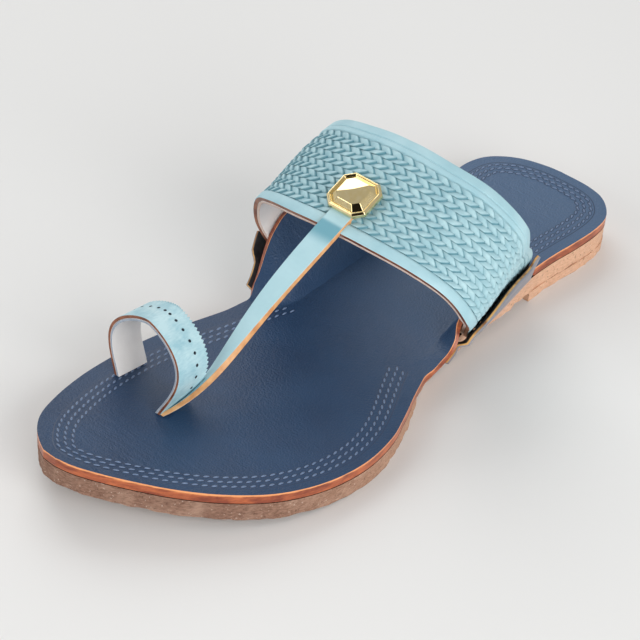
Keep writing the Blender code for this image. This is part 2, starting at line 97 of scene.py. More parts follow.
# The camera looks as the photo does: from the front on the lateral side, 36 degrees down, a little rolled.
camera_place = Vector((0.38681, -0.51247, 0.4950)) + shoe_origin
across = Vector((0.74905, 0.66254, 0))
tilt = math.radians(36.1)
roll = math.radians(3.0)
rise = Vector((-0.66254 * math.sin(tilt), 0.74905 * math.sin(tilt), math.cos(tilt)))
camera_right = across * math.cos(roll) + rise * math.sin(roll)
camera_up = rise * math.cos(roll) - across * math.sin(roll)
camera_back = camera_right.cross(camera_up)
aim = (-camera_back + camera_right * 0.0460 - camera_up * 0.0161).normalized()
turn = (-camera_back).rotation_difference(aim).to_matrix()
camera = bpy.data.objects.new("camera", bpy.data.cameras.new("camera"))
bpy.context.scene.collection.objects.link(camera)
facing = turn @ Matrix((camera_right, camera_up, camera_back)).transposed()
camera.matrix_world = Matrix.Translation(camera_place) @ facing.to_4x4()
camera.data.lens = 135.876
camera.data.sensor_width = 36
camera.data.clip_end = 20
bpy.context.scene.camera = camera
bpy.context.scene.view_settings.view_transform = "Standard"

world = bpy.data.worlds.new("white_surround")
bpy.context.scene.world = world
world.use_nodes = True
surround = world.node_tree
direction = node(surround, "TexCoord").outputs["Generated"]
towards_lens = node(surround, "VectorMath", {0: direction, 1: (0.49, -0.65, 0.58)}, operation="DOT_PRODUCT")
room = node(surround, "MapRange", {
    "Value": towards_lens.outputs["Value"], "From Min": 0.72, "From Max": 0.90})
tone = node(surround, "Mix", {"Factor": room, 6: "#F4F6F8", 7: "#26221E"}, data_type="RGBA")
connect(surround.nodes["Background"], {"Color": tone, "Strength": 0.50})

for name, place, size, power in (
    ("key_light", (-1.15, 0.70, 1.15), 1.4, 14),
    ("right_light", (1.30, -0.45, 0.60), 1.1, 19),
    ("left_light", (-0.55, -1.45, 0.65), 1.0, 9),
):
    lamp = bpy.data.lights.new(name, "AREA")
    lamp.size = size
    lamp.energy = power
    light = bpy.data.objects.new(name, lamp)
    bpy.context.scene.collection.objects.link(light)
    light.location = place
    light.rotation_euler = (Vector(place) - Vector((0, 0, 0.03))).to_track_quat("Z", "Y").to_euler()

floor_mesh = bmesh.new()
bmesh.ops.create_grid(floor_mesh, x_segments=2, y_segments=2, size=6)
floor_paper, tree, shader, place = new_material("seamless_paper", 0.9, 0.1)
connect(shader, {"Base Color": "#E8E7E5"})
floor = add_object(floor_mesh, "pale_floor", [floor_paper], (0, 0, 0))

# Outsole and heel lift: thick vegetable-tanned cattle leather, cut with a knife and left raw. The outsole
# is one layer from toe to heel, narrow at the waist and lifted at the toe. The lift is a second layer, glued
# and nailed under the heel.

LENGTH = 0.250
BALL_WIDTH = 0.091
OUTSOLE_THICK = 0.0066
HEEL_LIFT_THICK = 0.0034
INSOLE_THICK = 0.0033
OUTSOLE_INSET = 0.0023
TOE_SPRING = 0.0106
TOE_SPRING_LENGTH = 0.082
GAP = 0.0003
FOREPART_FLAT_FRONT = -0.5 + TOE_SPRING_LENGTH / LENGTH
FOREPART_FLAT_REAR = -0.06
HEEL_FRONT = 0.272
INSET_FRONT = -0.06
INSET_REAR = 0.22
INSET_RUN = 0.08
MEDIAL = -1
LATERAL = 1

# Outline of the sole: medial edge out and along, then lateral edge out and along, as shares of the ball
# width and of the length.
OUTLINE = (
    (-0.214, -0.4975, -0.154, -0.4985),
    (-0.264, -0.4870, -0.088, -0.4920),
    (-0.324, -0.4700, -0.011, -0.4770),
    (-0.380, -0.4455, 0.082, -0.4545),
    (-0.423, -0.4140, 0.192, -0.4240),
    (-0.465, -0.3680, 0.308, -0.3820),
    (-0.494, -0.3160, 0.412, -0.3280),
    (-0.504, -0.2560, 0.478, -0.2640),
    (-0.492, -0.1960, 0.501, -0.1960),
    (-0.457, -0.1400, 0.481, -0.1360),
    (-0.422, -0.0900, 0.433, -0.0880),
    (-0.406, -0.0440, 0.376, -0.0400),
    (-0.368, 0.0000, 0.330, 0.0080),
    (-0.341, 0.0560, 0.302, 0.0640),
    (-0.335, 0.1280, 0.281, 0.1360),
    (-0.336, 0.2000, 0.262, 0.2040),
    (-0.341, 0.2640, 0.244, 0.2640),
    (-0.357, 0.3200, 0.240, 0.3200),
    (-0.380, 0.3720, 0.248, 0.3720),
    (-0.391, 0.4120, 0.248, 0.4160),
    (-0.371, 0.4460, 0.231, 0.4500),
    (-0.319, 0.4700, 0.187, 0.4740),
    (-0.247, 0.4870, 0.126, 0.4910),
    (-0.154, 0.4970, 0.049, 0.4985),
    (-0.088, 0.5000, -0.027, 0.5000),
)


def smooth(share):
    """Eases a share between 0 and 1."""
    share = min(1.0, max(0.0, share))
    return share * share * (3 - 2 * share)


def look_up(table, column, key):
    """Reads a column of a table at a key of its first column, on a smooth curve through the rows."""
    if key <= table[0][0]:
        return table[0][column]
    if key >= table[-1][0]:
        return table[-1][column]
    row = 0
    while table[row + 1][0] < key:
        row += 1
    before = table[max(row - 1, 0)]
    here = table[row]
    there = table[row + 1]
    after = table[min(row + 2, len(table) - 1)]
    span = there[0] - here[0]
    share = (key - here[0]) / span
    slope_here = (there[column] - before[column]) / (there[0] - before[0]) * span
    slope_there = (after[column] - here[column]) / (after[0] - here[0]) * span
    climb = there[column] - here[column]
    cubic = slope_here + slope_there - 2 * climb
    square = 3 * climb - 2 * slope_here - slope_there
    return here[column] + share * (slope_here + share * (square + share * cubic))


NUMBERED_OUTLINE = [(row,) + shares for row, shares in enumerate(OUTLINE)]


def rail_pair(place):
    """The medial and the lateral point of the sole's outline at a place along the table's rows."""
    shares = [look_up(NUMBERED_OUTLINE, column, place) for column in (1, 2, 3, 4)]
    medial = Vector((shares[0] * BALL_WIDTH, shares[1] * LENGTH, 0))
    lateral = Vector((shares[2] * BALL_WIDTH, shares[3] * LENGTH, 0))
    return medial, lateral


def outsole_bottom(y):
    """Toe spring, flat forepart, slow rise over the waist, flat heel seat."""
    share = y / LENGTH
    if share < FOREPART_FLAT_FRONT:
        run = (FOREPART_FLAT_FRONT - share) * LENGTH / TOE_SPRING_LENGTH
        return TOE_SPRING * run * run
    climb = (share - FOREPART_FLAT_REAR) / (HEEL_FRONT - FOREPART_FLAT_REAR)
    return (HEEL_LIFT_THICK + GAP) * smooth(climb)


def outsole_inset(y):
    """How far the outsole's cut edge stands back from the outline beside the waist."""
    into = smooth((y / LENGTH - INSET_FRONT) / INSET_RUN)
    out = smooth((INSET_REAR - y / LENGTH) / INSET_RUN)
    return OUTSOLE_INSET * min(into, out)


def insole_bottom(y):
    return outsole_bottom(y) + OUTSOLE_THICK + GAP


def insole_top(y):
    return insole_bottom(y) + INSOLE_THICK


def sheet_piece(name, outer, inner, finishes, rims, bevel, rim_steps=1, rough=0.0):
    """A closed sheet of leather between two grids of points. Its outer face takes finish 0 and its inner
    face finish 1, and rims gives the finish of the front, rear, first-column and last-column cut edges.
    rough is the depth of a rough cut edge. The depth layer runs from 0 outside to 1 inside."""
    mesh = bmesh.new()
    depth_layer = mesh.verts.layers.float.new("depth")
    rows = len(outer)
    columns = len(outer[0])
    top = [[mesh.verts.new(point) for point in row] for row in outer]
    under = [[mesh.verts.new(point) for point in row] for row in inner]
    for r in range(rows - 1):
        for c in range(columns - 1):
            mesh.faces.new((top[r][c], top[r][c + 1], top[r + 1][c + 1], top[r + 1][c]))
            face = mesh.faces.new((under[r + 1][c], under[r + 1][c + 1], under[r][c + 1], under[r][c]))
            face.material_index = 1
    rim = [(0, c) for c in range(columns)]
    rim += [(r, columns - 1) for r in range(1, rows)]
    rim += [(rows - 1, c) for c in range(columns - 2, -1, -1)]
    rim += [(r, 0) for r in range(rows - 2, 0, -1)]
    layers = [[top[r][c] for r, c in rim]]
    for step in range(1, rim_steps):
        share = step / rim_steps
        layers.append([mesh.verts.new(top[r][c].co.lerp(under[r][c].co, share)) for r, c in rim])
    layers.append([under[r][c] for r, c in rim])
    for step, loop in enumerate(layers):
        for vertex in loop:
            vertex[depth_layer] = step / rim_steps
    for upper_loop, lower_loop in zip(layers, layers[1:]):
        for i, (r, c) in enumerate(rim):
            j = (i + 1) % len(rim)
            after = rim[j]
            face = mesh.faces.new((upper_loop[j], upper_loop[i], lower_loop[i], lower_loop[j]))
            edges = (r + after[0] == 0, min(r, after[0]) == rows - 1, c + after[1] == 0, True)
            face.material_index = rims[edges.index(True)]
    if rough:
        middle = sum((vertex.co for vertex in layers[0]), Vector()) / len(rim)
        for step, loop in enumerate(layers[1:], 1):
            share = step / rim_steps
            for i, vertex in enumerate(loop):
                along = loop[(i + 1) % len(loop)].co - loop[i - 1].co
                out = along.cross(Vector((0, 0, 1))).normalized()
                if out.dot(vertex.co - middle) < 0:
                    out.negate()
                wander = noise.noise(vertex.co * 260) + 0.6 * noise.noise(vertex.co * 900)
                vertex.co += out * rough * share * (wander - 0.5)
                if step == rim_steps:
                    vertex.co.z += rough * 0.9 * max(0, noise.noise(vertex.co * 330 + Vector((9, 4, 2))))
    bmesh.ops.recalc_face_normals(mesh, faces=mesh.faces)
    for face in mesh.faces:
        face.smooth = True
    piece = add_object(mesh, name, finishes, shoe_origin)
    round_edges = piece.modifiers.new("rounded_edges", "BEVEL")
    round_edges.width = bevel
    round_edges.segments = 2
    round_edges.limit_method = "ANGLE"
    round_edges.angle_limit = math.radians(50)
    round_edges.harden_normals = True
    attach(piece, "root")
    return piece


def mottled(name, roughness, specular, scale, detail, tone, other_tone, span=None, relief=None):
    """A material in two tones over soft noise. span narrows the change of tone. relief is the scale, the
    detail, the strength and the distance of its bump."""
    material, tree, shader, place = new_material(name, roughness, specular)
    patches = node(tree, "TexNoise", {"Vector": place, "Scale": scale, "Detail": detail})
    share = patches
    if span:
        share = node(tree, "MapRange", {"Value": patches, "From Min": span[0], "From Max": span[1]})
    mixed = node(tree, "Mix", {"Factor": share, 6: tone, 7: other_tone}, data_type="RGBA")
    connect(shader, {"Base Color": mixed})
    if relief:
        grain = node(tree, "TexNoise", {"Vector": place, "Scale": relief[0], "Detail": relief[1]})
        bump = node(tree, "Bump", {"Height": grain, "Strength": relief[2], "Distance": relief[3]})
        connect(shader, {"Normal": bump})
    return material


# Raw vegetable-tanned leather: a dry cut edge of packed fibres, in fine streaks along the sole with small
# pale and dark pits. It is greyish brown at the toe and paler and pinker at the heel; the heel's paleness is
# painted light, where the heel side catches more of the lamps. The streaks are about 0.4 mm.
raw_tan, tree, shader, place = new_material("raw_vegetable_tanned_leather", 0.85, 0.2)
stretch = node(tree, "Mapping", {"Vector": place, "Scale": (1, 1, 3.2)})
streaks = node(tree, "TexNoise", {"Vector": stretch, "Scale": 620, "Detail": 4, "Roughness": 0.65})
patches = node(tree, "TexNoise", {"Vector": place, "Scale": 95, "Detail": 3})
spots = node(tree, "TexNoise", {"Vector": place, "Scale": 1050, "Detail": 1})
along = node(tree, "SeparateXYZ", {"Vector": place})
# Painted light: the tan grows paler towards the heel, standing for the heel side catching more light.
heelward_light = node(tree, "MapRange", {"Value": along.outputs["Y"], "From Min": -0.09, "From Max": 0.05})
tan = node(tree, "Mix", {"Factor": heelward_light, 6: "#927160", 7: "#E0B496"}, data_type="RGBA")
fibre_tan = node(tree, "Mix", {"Factor": heelward_light, 6: "#6B4D3F", 7: "#CB9E80"}, data_type="RGBA")
for pattern, low, high, most, tone in (
    (streaks, 0.40, 0.66, 1.0, fibre_tan),
    (patches, 0.48, 0.72, 0.4, "#C9A893"),
    (spots, 0.66, 0.72, 0.5, "#4A3225"),
    (spots, 0.32, 0.26, 0.35, "#E8D6C8"),
):
    share = node(tree, "MapRange", {"Value": pattern, "From Min": low, "From Max": high, "To Max": most})
    tan = node(tree, "Mix", {"Factor": share, 6: tan, 7: tone}, data_type="RGBA")
connect(shader, {"Base Color": tan})
fibres = node(tree, "Bump", {"Height": streaks, "Strength": 0.5, "Distance": 0.0004})
connect(shader, {"Normal": fibres})

# Outsole top: where the outsole's top shows beside the waist, between the insole's wing and the flap, it is
# painted almost black as shade.
gap_shade_brown = mottled("outsole_top_gap_shade", 0.8, 0.15, 400, 3, "#1B1613", "#3A2C24")

ROW_STEPS = 7
SOLE_COLUMNS = 8
sole_places = [step / ROW_STEPS for step in range((len(OUTLINE) - 1) * ROW_STEPS + 1)]
top_rows = []
bottom_rows = []
for row_place in sole_places:
    medial, lateral = rail_pair(row_place)
    medial.x += outsole_inset(medial.y)
    lateral.x -= outsole_inset(lateral.y)
    points = [medial.lerp(lateral, step / SOLE_COLUMNS) for step in range(SOLE_COLUMNS + 1)]
    bottom_rows.append([Vector((point.x, point.y, outsole_bottom(point.y))) for point in points])
    top_rows.append([point + Vector((0, 0, OUTSOLE_THICK)) for point in bottom_rows[-1]])
outsole = sheet_piece(
    "outsole_leather", top_rows, bottom_rows, [gap_shade_brown, raw_tan], (1, 1, 1, 1),
    bevel=0.0005, rim_steps=6, rough=0.0006)
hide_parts("outsole")

top_rows = []
bottom_rows = []
for row_place in sole_places:
    medial, lateral = rail_pair(row_place)
    if min(medial.y, lateral.y) <= HEEL_FRONT * LENGTH:
        continue
    if not top_rows:
        medial.y = lateral.y = HEEL_FRONT * LENGTH
    bottom_rows.append([medial.lerp(lateral, step / SOLE_COLUMNS) for step in range(SOLE_COLUMNS + 1)])
    top_rows.append([point + Vector((0, 0, HEEL_LIFT_THICK + GAP)) for point in bottom_rows[-1]])
lift = sheet_piece(
    "heel_lift_leather", top_rows, bottom_rows, [raw_tan, raw_tan], (0, 0, 0, 0),
    bevel=0.0002, rim_steps=4, rough=0.0004)
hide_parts("heel_lift")

# Insole: one layer of dyed navy leather over the whole sole, its cut edge painted orange-brown and
# burnished. At the waist its sides are cut free at two corners and stand up inside the band as wings.

INSTEP_HEIGHT = 0.065
WING_HEIGHT = 0.027
WING_GAP = 0.0005
WING_FRONT = {MEDIAL: -0.052, LATERAL: -0.020}
WING_FULL = {MEDIAL: -0.036, LATERAL: 0.010}
WING_FADE = 0.262
WING_REAR = 0.278
WING_SKIVE = 0.4
FOLD_SHARE = 0.7
SIDE_STEPS = 14
WAIST_STEPS = 90
WAIST_CENTRE = -0.033
SIDE_FLARE = {MEDIAL: 0.0, LATERAL: 0.8}
SIDE_SHARE = 0.6
LAST_ROUND = 2.1

# Sections of the last: along, half width (share of ball width), widest height and top (shares of instep
# height), half width at the foot of the medial and of the lateral wall (shares of ball width).
LAST = (
    (-0.100, 0.425, 0.385, 0.680, 0.280, 0.300),
    (-0.060, 0.437, 0.390, 0.748, 0.280, 0.300),
    (0.000, 0.450, 0.400, 0.845, 0.280, 0.300),
    (0.080, 0.447, 0.530, 0.960, 0.280, 0.300),
    (0.180, 0.390, 0.670, 1.020, 0.280, 0.268),
    (0.280, 0.325, 0.680, 1.040, 0.280, 0.222),
)

# Waist sides: along, then for the medial and for the lateral side the height of the wing and of the flap
# (shares of their heights) and how far the wing's edge leans out past the last (share of the ball width).
WAIST_SIDES = (
    (-0.052, 0.12, 0.20, 0.110, 0.03, 0.03, 0.080),
    (-0.040, 0.20, 0.26, 0.098, 0.03, 0.03, 0.080),
    (-0.022, 0.42, 0.50, 0.055, 0.03, 0.03, 0.080),
    (-0.006, 0.63, 0.78, 0.016, 0.03, 0.03, 0.080),
    (0.012, 0.80, 0.97, 0.000, 0.04, 0.04, 0.076),
    (0.032, 0.91, 1.00, 0.000, 0.07, 0.08, 0.068),
    (0.048, 0.95, 1.00, 0.000, 0.11, 0.12, 0.061),
    (0.062, 0.98, 1.00, 0.000, 0.22, 0.24, 0.044),
    (0.076, 1.00, 1.00, 0.000, 0.42, 0.46, 0.000),
    (0.100, 1.00, 1.00, 0.000, 0.74, 0.80, 0.000),
    (0.130, 0.92, 0.95, 0.000, 0.88, 0.95, 0.000),
    (0.160, 0.82, 0.88, 0.000, 0.82, 0.90, 0.000),
    (0.220, 0.45, 0.74, 0.000, 0.45, 0.74, 0.000),
    (0.262, 0.16, 0.68, 0.000, 0.16, 0.68, 0.000),
    (0.280, 0.12, 0.66, 0.000, 0.12, 0.66, 0.000),
)


def waist_side(side, part, y):
    """Reads the waist's table: part 1 is the wing's height, 2 the flap's height and 3 the lean."""
    column = part if side == MEDIAL else part + 3
    return look_up(WAIST_SIDES, column, y / LENGTH)


def last_point(around, y):
    """A point of the last. around is 0 at the top, -1 at the wall's medial foot and 1 at its lateral one."""
    share = y / LENGTH
    half_width = look_up(LAST, 1, share) * BALL_WIDTH
    side_height = look_up(LAST, 2, share) * INSTEP_HEIGHT
    top_height = look_up(LAST, 3, share) * INSTEP_HEIGHT
    foot_half = look_up(LAST, 4 if around < 0 else 5, share) * BALL_WIDTH
    reach = abs(around)
    side = MEDIAL if around < 0 else LATERAL
    if reach < SIDE_SHARE:
        angle = reach / SIDE_SHARE * math.pi / 2
        out = half_width * math.sin(angle) ** (2 / LAST_ROUND)
        up = side_height + (top_height - side_height) * max(math.cos(angle), 0) ** (2 / LAST_ROUND)
    else:
        climb = (1 - reach) / (1 - SIDE_SHARE)
        flare = smooth(climb) + SIDE_FLARE[side] * climb * (1 - climb) ** 2
        out = foot_half + (half_width - foot_half) * flare
        up = side_height * climb
    return Vector((WAIST_CENTRE * BALL_WIDTH + side * out, y, insole_bottom(y) + up))


def off_last(around, y, distance):
    """A point at a distance outside the last, along its normal, not lower than the insole's underside."""
    along = last_point(around, y + 0.0025) - last_point(around, y - 0.0025)
    over = last_point(around + 0.01, y) - last_point(around - 0.01, y)
    point = last_point(around, y) + over.cross(along).normalized() * distance
    point.z = max(point.z, insole_bottom(y))
    return point


def around_at_height(y, height):
    """The place round the wall of the last at a height over its foot."""
    side_height = look_up(LAST, 2, y / LENGTH) * INSTEP_HEIGHT
    return 1 - min(height / side_height, 1) * (1 - SIDE_SHARE)


def outline_edge(side, y):
    """The sole's edge on one side, at a place along the shoe."""
    column = 0 if side == MEDIAL else 2
    rail = [(row[column + 1], row[column]) for row in OUTLINE]
    return Vector((look_up(rail, 1, y / LENGTH) * BALL_WIDTH, y, 0))


def side_point(side, y, height, distance):
    """A point of the side wall at the waist, at a distance outside the last."""
    lean = waist_side(side, 3, y) * BALL_WIDTH * height / (waist_side(side, 1, y) * WING_HEIGHT)
    return off_last(side * around_at_height(y, height), y, distance) + Vector((side * lean, 0, 0))


def insole_side(side, middle, edge):
    """One side of the insole's section from the fold to the cut edge, as its top and bottom points."""
    share = middle.y / LENGTH
    front = smooth((share - WING_FRONT[side]) / (WING_FULL[side] - WING_FRONT[side]))
    rear = smooth((WING_REAR - share) / (WING_REAR - WING_FADE))
    stands = min(front, rear)
    root = side_point(side, middle.y, 0, -WING_GAP)
    fold = middle.lerp(edge, FOLD_SHARE).lerp(Vector((root.x, middle.y, 0)), stands)
    under = [Vector((fold.x, fold.y, insole_bottom(fold.y)))]
    for step in range(1, SIDE_STEPS + 1):
        flat = fold.lerp(edge, step / SIDE_STEPS)
        flat.z = insole_bottom(flat.y)
        height = waist_side(side, 1, middle.y) * WING_HEIGHT * step / SIDE_STEPS
        wall = side_point(side, middle.y, height, -WING_GAP)
        under.append(flat.lerp(wall, stands))
    top = [Vector((fold.x - side * INSOLE_THICK * stands, fold.y, insole_top(fold.y)))]
    for step in range(1, SIDE_STEPS + 1):
        run = under[min(step + 1, SIDE_STEPS)] - under[step - 1]
        thick = INSOLE_THICK * (1 - WING_SKIVE * stands * step / SIDE_STEPS)
        point = under[step] + Vector((-side * run.z, 0, side * run.x)).normalized() * thick
        lowest = insole_top(point.y)
        point.z = max(point.z, lowest + (point.z - lowest + INSOLE_THICK) * 0.01)
        top.append(point)
    return top, under


def insole_row(medial, lateral):
    """One section of the insole between two edge points, as its top and bottom points."""
    middle = medial.lerp(lateral, 0.5)
    sides = (insole_side(MEDIAL, middle, medial), insole_side(LATERAL, middle, lateral))
    rows = []
    for near, far in zip(*sides):
        flat = [near[0].lerp(far[0], step / SIDE_STEPS) for step in range(1, SIDE_STEPS)]
        rows.append(near[::-1] + flat + far)
    return rows


# Aniline-dyed navy leather: smooth and slightly waxy, with soft clouds of lighter and darker dye, fine
# creases and a low sheen. The grain is about 0.7 mm.
navy_leather, tree, shader, place = new_material("navy_dyed_leather", 0.42, 0.28)
clouds = node(tree, "TexNoise", {"Vector": place, "Scale": 38, "Detail": 4, "Roughness": 0.55})
cloud_share = node(tree, "MapRange", {"Value": clouds, "From Min": 0.3, "From Max": 0.7})
dye = node(tree, "Mix", {"Factor": cloud_share, 6: "#203857", 7: "#294566"}, data_type="RGBA")
along = node(tree, "SeparateXYZ", {"Vector": place})
# Painted sheen: the navy turns lighter towards the heel, standing for light glancing off the heel seat.
heelward_light = node(tree, "MapRange", {"Value": along.outputs["Y"], "From Min": -0.02, "From Max": 0.10})
dye_and_sheen = node(tree, "Mix", {"Factor": heelward_light, 6: dye, 7: "#46607F"}, data_type="RGBA")
connect(shader, {"Base Color": dye_and_sheen})
grain = node(tree, "TexNoise", {"Vector": place, "Scale": 1400, "Detail": 3})
crease_place = node(tree, "Mapping", {"Vector": place, "Scale": (0.35, 1.6, 1.0), "Rotation": (0, 0, 0.5)})
creases = node(tree, "TexNoise", {
    "Vector": crease_place, "Scale": 300, "Detail": 5, "Roughness": 0.6, "Distortion": 0.7})
waist = node(tree, "MapRange", {
    "Value": along.outputs["Z"], "From Min": 0.011, "From Max": 0.016, "To Min": 0.12})
crease_depth = node(tree, "Math", {0: creases, 1: waist}, operation="MULTIPLY")
relief = node(tree, "Math", {0: crease_depth, 1: 1.6, 2: grain}, operation="MULTIPLY_ADD")
skin = node(tree, "Bump", {"Height": relief, "Strength": 0.5, "Distance": 0.0006})
connect(shader, {"Normal": skin})
wear = node(tree, "MapRange", {"Value": clouds, "To Min": 0.30, "To Max": 0.52})
connect(shader, {"Roughness": wear})

# Burnished edge paint: orange-brown, rubbed to a gloss. A painted highlight runs thin and bright along the
# top corner; below, the paint is darker and redder, where the fibres drank it.
edge_paint, tree, shader, place = new_material("burnished_edge_paint", 0.34, 0.45)
flat_place = node(tree, "Mapping", {"Vector": place, "Scale": (1, 1, 4)})
soak = node(tree, "TexNoise", {"Vector": flat_place, "Scale": 110, "Detail": 5, "Roughness": 0.7})
soak_share = node(tree, "MapRange", {"Value": soak, "From Min": 0.38, "From Max": 0.62})
paint = node(tree, "Mix", {"Factor": soak_share, 6: "#B8633B", 7: "#7C3824"}, data_type="RGBA")
down = node(tree, "Attribute", attribute_name="depth")
wavy = node(tree, "Math", {0: soak, 1: 0.5, 2: down.outputs["Fac"]}, operation="MULTIPLY_ADD")
# Painted highlight: the paint turns bright orange along the rim's top corner.
corner_highlight = node(tree, "MapRange", {"Value": wavy, "From Min": 0.36, "From Max": 0.50})
paint_with_corner_highlight = node(tree, "Mix", {"Factor": corner_highlight, 6: "#EDA169", 7: paint}, data_type="RGBA")
connect(shader, {"Base Color": paint_with_corner_highlight})
brush = node(tree, "Bump", {"Height": soak, "Strength": 0.35, "Distance": 0.0003})
connect(shader, {"Normal": brush})

waist_first = WING_FRONT[MEDIAL] * LENGTH
waist_last = WING_REAR * LENGTH
pairs = [rail_pair(row_place) for row_place in sole_places]
toe_pairs = [pair for pair in pairs if max(pair[0].y, pair[1].y) < waist_first - GAP]
heel_pairs = [pair for pair in pairs if min(pair[0].y, pair[1].y) > waist_last + GAP]
waist_pairs = []
for step in range(WAIST_STEPS + 1):
    y = waist_first + (waist_last - waist_first) * step / WAIST_STEPS
    waist_pairs.append((outline_edge(MEDIAL, y), outline_edge(LATERAL, y)))
rows = [insole_row(medial, lateral) for medial, lateral in toe_pairs + waist_pairs + heel_pairs]
insole = sheet_piece(
    "insole_leather", [row[0] for row in rows], [row[1] for row in rows],
    [navy_leather, raw_tan, edge_paint], (2, 2, 2, 2), bevel=0.0004, rim_steps=5)
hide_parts("insole")

# Insole stitching: three rows of waxed navy thread round the forepart and round the heel seat, beside a
# pressed groove. Each stitch is pulled down hard, so it lies as a small raised grain in a dimple. The dimple
# and the groove are flat dark patches: painted shade over the pressed leather's own darker tone.

STITCH_LENGTH = 0.0021
STITCH_PITCH = 0.0030
STITCH_SPACING = 0.0024
STITCH_INSET = 0.0050
STITCH_SLANT = 0.25
STITCH_ROWS = 3
EASING_TURNS = 40
DIMPLE_HALF_LENGTH = 0.00155
DIMPLE_HALF_WIDTH = 0.00066
GROOVE_INSET = 0.0036
GROOVE_WIDTH = 0.00035
PRESSED_LIFT = 0.00004

# One stitch from end to end: place along it (share of its length), half width and height in mm.
STITCH_GRAIN = ((-0.5, 0.06, 0.0), (-0.3, 0.30, 0.24), (0, 0.36, 0.36), (0.3, 0.30, 0.24), (0.5, 0.06, 0.0))

# The rows wander along the edge: place round the forepart from the medial to the lateral waist, and mm
# inwards. Round the heel they keep one distance.
STITCH_WANDER = (
    (0.00, 2.6),
    (0.25, 2.2),
    (0.40, 1.4),
    (0.50, -0.2),
    (0.60, -0.8),
    (0.80, -0.6),
    (0.92, 0.6),
    (1.00, 2.6),
)
HEEL_WANDER = ((0.0, 0.6), (1.0, 0.6))

# Waxed thread: a little lighter than the leather and catching the light.
navy_thread = mottled(
    "waxed_navy_thread", 0.38, 0.5, 2500, 2, "#455B7D", "#7D92B0", relief=(2500, 2, 0.4, 0.0002))

# Pressed navy leather: shinier where the thread and the groove squeeze it, and darker, partly its own
# pressed tone and partly painted shade of the recess.
pressed_navy_and_shade = mottled("pressed_navy_and_recess_shade", 0.35, 0.3, 900, 3, "#1A2A42", "#2A4162")


def inset_path(medial_rail, lateral_rail, inset, wander):
    """The outline drawn in by a distance, from one side round the end to the other, in even short steps."""
    contour = medial_rail[::-1] + lateral_rail
    middle = sum(contour, Vector()) / len(contour)
    path = []
    for i in range(1, len(contour) - 1):
        inward = (contour[i + 1] - contour[i - 1]).cross(Vector((0, 0, 1))).normalized()
        if inward.dot(middle - contour[i]) < 0:
            inward.negate()
        drift = look_up(wander, 1, i / len(contour)) * 0.001
        path.append(contour[i] + inward * (inset + drift))
    for _ in range(EASING_TURNS):
        eased = [(a + b * 2 + c) / 4 for a, b, c in zip(path, path[1:], path[2:])]
        path = [path[0]] + eased + [path[-1]]
    return path


def add_ribbon(mesh, path, width):
    """A pressed line: a thin strip along a path, just over the leather, dark with painted shade of the
    groove.
    """
    sides = []
    for before, here, after in zip(path, path[1:], path[2:]):
        side = (after - before).cross(Vector((0, 0, 1))).normalized() * width / 2
        level = Vector((0, 0, insole_top(here.y) + PRESSED_LIFT))
        sides.append([mesh.verts.new(here + level - side), mesh.verts.new(here + level + side)])
    for near, far in zip(sides, sides[1:]):
        mesh.faces.new((near[0], near[1], far[1], far[0])).material_index = 1


def add_stitches(mesh, path, shift):
    """Lays stitches at an even pitch along a path, each as a grain of thread in a dimple painted dark as
    shade.
    """
    travelled = -shift
    for before, after in zip(path, path[1:]):
        span = (after - before).length
        while travelled + span >= 0 and span > 0:
            start = before.lerp(after, -travelled / span)
            ahead = (after - before).normalized()
            ahead = (ahead + Vector((-ahead.y, ahead.x, 0)) * STITCH_SLANT).normalized()
            side = Vector((-ahead.y, ahead.x, 0))
            dimple = []
            for turn in range(10):
                angle = turn * math.pi / 5
                point = start + ahead * math.cos(angle) * DIMPLE_HALF_LENGTH
                point += side * math.sin(angle) * DIMPLE_HALF_WIDTH
                dimple.append(mesh.verts.new((point.x, point.y, insole_top(point.y) + PRESSED_LIFT)))
            mesh.faces.new(dimple).material_index = 1
            loops = []
            for place_along, width, height in STITCH_GRAIN:
                centre = start + ahead * STITCH_LENGTH * place_along
                loop = []
                for angle in (0, 45, 90, 135, 180):
                    turn = math.radians(angle)
                    point = centre + side * math.cos(turn) * width * 0.001
                    point.z = insole_top(point.y) + (math.sin(turn) * height + 0.05) * 0.001
                    loop.append(mesh.verts.new(point))
                loops.append(loop)
            for near, far in zip(loops, loops[1:]):
                for i in range(4):
                    mesh.faces.new((near[i], near[i + 1], far[i + 1], far[i]))
            travelled -= STITCH_PITCH
        travelled += span


fine_pairs = [rail_pair(step / 12) for step in range((len(OUTLINE) - 1) * 12 + 1)]
toe = [pair for pair in fine_pairs if pair[1].y < 0.0]
heel = [pair for pair in fine_pairs if pair[0].y > 0.074][::-1]
mesh = bmesh.new()
for pairs_here, wander in ((toe, STITCH_WANDER), (heel, HEEL_WANDER)):
    medial_rail = [pair[0] for pair in pairs_here]
    lateral_rail = [pair[1] for pair in pairs_here]
    add_ribbon(mesh, inset_path(medial_rail, lateral_rail, GROOVE_INSET, wander), GROOVE_WIDTH)
    for row in range(STITCH_ROWS):
        path = inset_path(medial_rail, lateral_rail, STITCH_INSET + row * STITCH_SPACING, wander)
        add_stitches(mesh, path, STITCH_PITCH * (row % 2) / 2)
for face in mesh.faces:
    face.smooth = True
    face.normal_update()
    if face.normal.z < 0:
        face.normal_flip()
stitches = add_object(mesh, "insole_stitches", [navy_thread, pressed_navy_and_shade], shoe_origin)
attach(stitches, "root")

# Side flaps: two ears of firm grey split leather, glued between outsole and insole and turned up outside the
# band's ends. Their top edge is painted yellow-ochre and stands a little off the band.

BAND_WALL = 0.0024
BRAID_RAISE = 0.0006
BAND_SKEW = 0.012
FLAP_THICK = 0.0015
FLAP_HEIGHT = 0.0185
FLAP_FRONT = {MEDIAL: -0.036, LATERAL: 0.042}
FLAP_REAR = 0.262
FLAP_STAND_OFF = 0.0011
FLAP_STATIONS = 80
FLAP_RISE_STEPS = 10

# In front of the band the medial flap stands a little higher than the insole's wing and a little off it.
FLAP_AHEAD_OFF = 0.0012
FLAP_OVER_WING = 1.03

